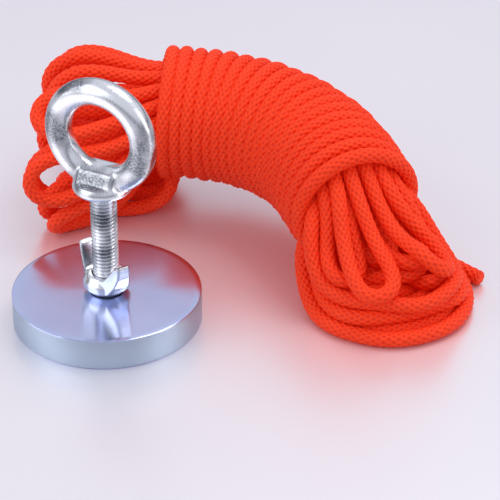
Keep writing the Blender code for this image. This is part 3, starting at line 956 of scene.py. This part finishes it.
def make_rope(look):
    """One braided line: strands laid side by side, turned back at both ends, then wrapped."""
    rng = np.random.default_rng(11)
    laid, held = lay_rope(rng)
    settled = settle_rope(laid, held)
    fine = smooth_route(settled, 3)
    length = float(np.linalg.norm(np.diff(fine, axis=0), axis=1).sum())
    points = even_steps(fine, length / ROPE_RINGS)
    for _ in range(2):
        points[1:-1] = (points[:-2] + 2 * points[1:-1] + points[2:]) / 4
    first_end, last_end = blunt_end(points[1], points[0]), blunt_end(points[-2], points[-1])
    points = np.array([points[0], *first_end, *points[1:-1], *last_end[::-1], points[-1]])
    corners = rope_surface(points, look)
    rings = len(points)
    faces = []
    for i in range(rings - 1):
        for j in range(ROPE_SIDES):
            k = (j + 1) % ROPE_SIDES
            a, b = i * ROPE_SIDES, (i + 1) * ROPE_SIDES
            faces.append((a + j, a + k, b + k, b + j))
    faces.append(tuple(range(ROPE_SIDES))[::-1])
    faces.append(tuple(range((rings - 1) * ROPE_SIDES, rings * ROPE_SIDES)))
    mesh = bpy.data.meshes.new("rope")
    mesh.from_pydata(corners.tolist(), [], faces)
    braid = mesh.uv_layers.new(name="braid")
    end_corners = 2 * ROPE_SIDES
    ring = np.repeat(np.arange(rings - 1), ROPE_SIDES)
    side = np.tile(np.arange(ROPE_SIDES), rings - 1)
    loops = np.stack([side, ring, side + 1, ring, side + 1, ring + 1, side, ring + 1], 1)
    values = np.concatenate([loops.reshape(-1) / ROPE_SIDES, np.zeros(2 * end_corners)])
    braid.data.foreach_set("uv", values.astype(np.float32))
    mesh.shade_smooth()
    rope = bpy.data.objects.new("rope", mesh)
    bpy.context.scene.collection.objects.link(rope)
    select_only(rope)
    bpy.ops.object.mode_set(mode="EDIT")
    bpy.ops.mesh.select_all(action="SELECT")
    bpy.ops.mesh.normals_make_consistent(inside=False)
    bpy.ops.object.mode_set(mode="OBJECT")
    rope.data.materials.append(braided_cord(look))
    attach(rope, "rope")
    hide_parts("rope_wraps", "rope_loops_left", "rope_loops_right", "rope_tail")


# ------------------------------------------------ stage


def add_card(name, place, target, size, power, colour):
    """A soft light that the camera doesn't see."""
    light = bpy.data.lights.new(name, "AREA")
    light.shape = "RECTANGLE"
    light.size, light.size_y = size
    light.energy = power
    light.color = linear(colour)[:3]
    obj = bpy.data.objects.new(name, light)
    obj.location = place
    obj.rotation_euler = (Vector(target) - Vector(place)).to_track_quat("-Z", "Y").to_euler()
    obj.visible_camera = False
    bpy.context.scene.collection.objects.link(obj)


def make_stage(look):
    """Camera, a pale surround with a darker band for the metal to mirror, floor and lights."""
    scene = bpy.context.scene
    scene.view_settings.view_transform = "Standard"
    camera = bpy.data.cameras.new("camera")
    camera.lens = look.lens
    camera.sensor_width = 36
    camera_object = bpy.data.objects.new("camera", camera)
    camera_object.location = look.camera_place
    aim = Vector(look.camera_aim) - Vector(look.camera_place)
    camera_object.rotation_euler = aim.to_track_quat("-Z", "Y").to_euler()
    scene.collection.objects.link(camera_object)
    scene.camera = camera_object

    world = bpy.data.worlds.new("studio")
    world.use_nodes = True
    scene.world = world
    tree = world.node_tree
    background = tree.nodes["Background"]
    way = add_node(tree, "ShaderNodeTexCoord").outputs["Generated"]
    height = add_node(tree, "ShaderNodeSeparateXYZ", {}, {"Vector": way}).outputs["Z"]
    from_band = add_node(tree, "ShaderNodeMath", {"operation": "SUBTRACT", 1: BAND_MIDDLE}, {0: height})
    links = {0: from_band.outputs["Value"]}
    off_band = add_node(tree, "ShaderNodeMath", {"operation": "ABSOLUTE"}, links)
    settings = {"From Min": BAND_HALF, "From Max": BAND_FADED}
    clear = add_node(tree, "ShaderNodeMapRange", settings, {"Value": off_band.outputs["Value"]})
    settings = {"data_type": "RGBA", MIX_A: [*look.band_colour, 1.0], MIX_B: [*look.sky_colour, 1.0]}
    sky = add_node(tree, "ShaderNodeMix", settings, {MIX_SHARE: clear.outputs["Result"]})
    tree.links.new(sky.outputs[MIX_OUT], background.inputs["Color"])
    background.inputs["Strength"].default_value = look.sky_strength

    deselect()
    bpy.ops.mesh.primitive_plane_add(size=look.floor_size, location=(0, 0, 0))
    floor = bpy.context.object
    floor.name = "floor"
    floor.data.materials.append(glossy_board())

    middle = (0.04, 0.05, 0.02)
    add_card("overhead_softbox", (0.3, 0.5, 1.3), middle, (0.7, 0.6), look.key_power, "#fffefc")
    add_card("left_softbox", (-0.75, -0.8, 0.7), middle, (1.1, 1.3), look.left_power, "#fcfcff")
    add_card("right_softbox", (1.2, 0.15, 0.5), middle, (0.5, 0.9), look.right_power, "#fffafa")


# ------------------------------------------------ add-on


def number_prop(name, text, value, **more):
    return bpy.props.FloatProperty(name=name, description=text, default=value, **more)


def length_prop(name, text, value):
    return number_prop(name, text, value, unit="LENGTH", precision=5)


def vector_prop(name, text, value, subtype):
    return bpy.props.FloatVectorProperty(name=name, description=text, default=value, subtype=subtype)


def colour_prop(name, text, code):
    return vector_prop(name, text, linear(code)[:3], "COLOR")


class MagnetLook(bpy.types.PropertyGroup):
    rim_bevel: length_prop("Rim bevel", "Bevel round the cup's top and bottom", 0.5 * MM)
    dish: length_prop("Dish", "How much lower the top is in its middle", 0.1 * MM)
    wall: length_prop("Wall", "Thickness of the cup's wall", 3.2 * MM)
    gap: length_prop("Gap", "Clearance between neighbouring pieces", 0.3 * MM)
    bore_radius: length_prop("Bore radius", "Hole for the bolt", 5.3 * MM)


class EyeBoltLook(bpy.types.PropertyGroup):
    thread_radius: length_prop("Thread radius", "Radius over the thread's crests", 5.0 * MM)
    thread_depth: length_prop("Thread depth", "From crest to root", 0.85 * MM)
    pitch: length_prop("Pitch", "From one crest to the next", 1.5 * MM)
    collar_seat: length_prop("Collar seat", "Height of the collar's underside", 55.2 * MM)
    collar_seat_radius: length_prop("Collar seat radius", "Radius of its flat underside", 8.6 * MM)
    collar_radius: length_prop("Collar radius", "Radius of the collar", 11.3 * MM)
    collar_edge_rise: length_prop("Collar edge rise", "Height of the collar's rounded edge", 2.6 * MM)
    collar_height: length_prop("Collar height", "Height of the collar", 5.2 * MM)
    ring_radius: length_prop("Ring radius", "From the ring's centre to its bar's middle", 17.5 * MM)
    ring_tube: length_prop("Ring bar radius", "Radius of the ring's bar", 5.0 * MM)
    neck_half: length_prop("Neck half width", "Half the neck's width at the collar", 8.3 * MM)
    neck_top_x: length_prop("Neck top half width", "Half the neck's width at the ring", 7.4 * MM)
    neck_top_y: length_prop("Neck top half depth", "Half the neck's depth at the ring", 5.0 * MM)
    neck_round: length_prop("Neck rounding", "Rounding of the neck's edges", 1.2 * MM)


class WingNutLook(bpy.types.PropertyGroup):
    hub_base: length_prop("Hub base radius", "Radius of the hub's foot", 6.6 * MM)
    hub_radius: length_prop("Hub radius", "Largest radius of the hub", 8.8 * MM)
    hub_top: length_prop("Hub top radius", "Radius of the hub's top", 7.4 * MM)
    hub_height: length_prop("Hub height", "Height of the hub", 7.6 * MM)
    nut_bore: length_prop("Bore radius", "Hole for the bolt", 5.3 * MM)
    wing_reach: length_prop("Wing reach", "From the bolt's middle to the wing's tip", 13.5 * MM)
    wing_root_half: length_prop("Wing root half width", "Half the wing's width at the hub", 6.4 * MM)
    wing_tip_half: length_prop("Wing tip half width", "Half the wing's width at its tip", 2.4 * MM)
    wing_round: length_prop("Wing rounding", "Rounding of the wing's edges", 0.6 * MM)
    wing_angle: number_prop(
        "Wing angle", "Which way the front wing points", math.radians(-30), subtype="ANGLE"
    )


class RopeLook(bpy.types.PropertyGroup):
    diameter: length_prop("Diameter", "Thickness of the rope", ROPE_DIAMETER)
    relief: length_prop("Relief", "How far the braid's stitches stand out", 0.16 * MM)
    body_colour: colour_prop("Body colour", "Colour of the rope", "#ff3c12")
    light_colour: colour_prop("Light colour", "Colour where the dye took less", "#ff4618")
    # painted shade: the colour painted into the braid's valleys, where shade falls
    painted_valley_shade: colour_prop("Valley colour", "Colour between the stitches", "#c80c00")
    # painted light: the colour of the glow that brightens the rope's shade
    painted_glow_colour: colour_prop("Glow colour", "What the fluorescent dye gives back in shade", "#ff1e00")


class StageLook(bpy.types.PropertyGroup):
    lens: number_prop("Lens", "Focal length in millimetres", 158.5)
    camera_place: vector_prop("Camera place", "Where it is", (0.3573, -0.5993, 0.4582), "XYZ")
    camera_aim: vector_prop("Camera aim", "What it looks at", (0.0423, 0.0356, 0.0213), "XYZ")
    floor_size: length_prop("Floor size", "Side of the floor", 16.0)
    band_colour: colour_prop("Band colour", "Darker band, a little above the floor", "#6c6f78")
    sky_colour: colour_prop("Sky colour", "The rest of the surround", "#dcdde8")
    sky_strength: number_prop("Sky strength", "Light of the surround", 1.0)
    key_power: number_prop("Overhead power", "Watts overhead", 6.0)
    left_power: number_prop("Left power", "Watts from the left", 6.5)
    right_power: number_prop("Right power", "Watts from the right", 2.8)


class MESH_OT_magnet_stage(bpy.types.Operator):
    """Add the floor, the camera and the lights"""

    bl_idname = "mesh.magnet_stage"
    bl_label = "Stage"

    def execute(self, context):
        make_stage(context.scene.stage_look)
        return {"FINISHED"}


class MESH_OT_magnet_rope(bpy.types.Operator):
    """Add the braided rope in its hank"""

    bl_idname = "mesh.magnet_rope"
    bl_label = "Rope"

    def execute(self, context):
        make_rope(context.scene.rope_look)
        return {"FINISHED"}


class MESH_OT_magnet_pot(bpy.types.Operator):
    """Add the plated cup and what its pull face shows"""

    bl_idname = "mesh.magnet_pot"
    bl_label = "Pot magnet"

    def execute(self, context):
        make_pot(context.scene.magnet_look)
        make_filling(context.scene.magnet_look)
        return {"FINISHED"}


class MESH_OT_magnet_eye_bolt(bpy.types.Operator):
    """Add the eye bolt"""

    bl_idname = "mesh.magnet_eye_bolt"
    bl_label = "Eye bolt"

    def execute(self, context):
        make_eye_bolt(context.scene.eye_bolt_look)
        return {"FINISHED"}


class MESH_OT_magnet_wing_nut(bpy.types.Operator):
    """Add the wing nut"""

    bl_idname = "mesh.magnet_wing_nut"
    bl_label = "Wing nut"

    def execute(self, context):
        make_wing_nut(context.scene.wing_nut_look)
        return {"FINISHED"}


OPERATORS = (
    MESH_OT_magnet_stage,
    MESH_OT_magnet_rope,
    MESH_OT_magnet_pot,
    MESH_OT_magnet_eye_bolt,
    MESH_OT_magnet_wing_nut,
)


class VIEW3D_PT_magnet(bpy.types.Panel):
    bl_idname = "VIEW3D_PT_magnet"
    bl_label = "Magnet Fishing Kit"
    bl_space_type = "VIEW_3D"
    bl_region_type = "UI"
    bl_category = "Magnet"

    def draw(self, context):
        for operator in OPERATORS:
            self.layout.operator(operator.bl_idname)


LOOKS = {
    "stage_look": StageLook,
    "rope_look": RopeLook,
    "magnet_look": MagnetLook,
    "eye_bolt_look": EyeBoltLook,
    "wing_nut_look": WingNutLook,
}


def register():
    for kind in (*LOOKS.values(), *OPERATORS, VIEW3D_PT_magnet):
        bpy.utils.register_class(kind)
    for name, kind in LOOKS.items():
        setattr(bpy.types.Scene, name, bpy.props.PointerProperty(type=kind))


def unregister():
    for name in LOOKS:
        delattr(bpy.types.Scene, name)
    for kind in (VIEW3D_PT_magnet, *reversed(OPERATORS), *reversed(LOOKS.values())):
        bpy.utils.unregister_class(kind)


def main():
    register()
    bpy.ops.mesh.magnet_stage()
    bpy.ops.mesh.magnet_rope()
    bpy.ops.mesh.magnet_pot()
    bpy.ops.mesh.magnet_eye_bolt()
    bpy.ops.mesh.magnet_wing_nut()


if __name__ == "__main__":
    main()
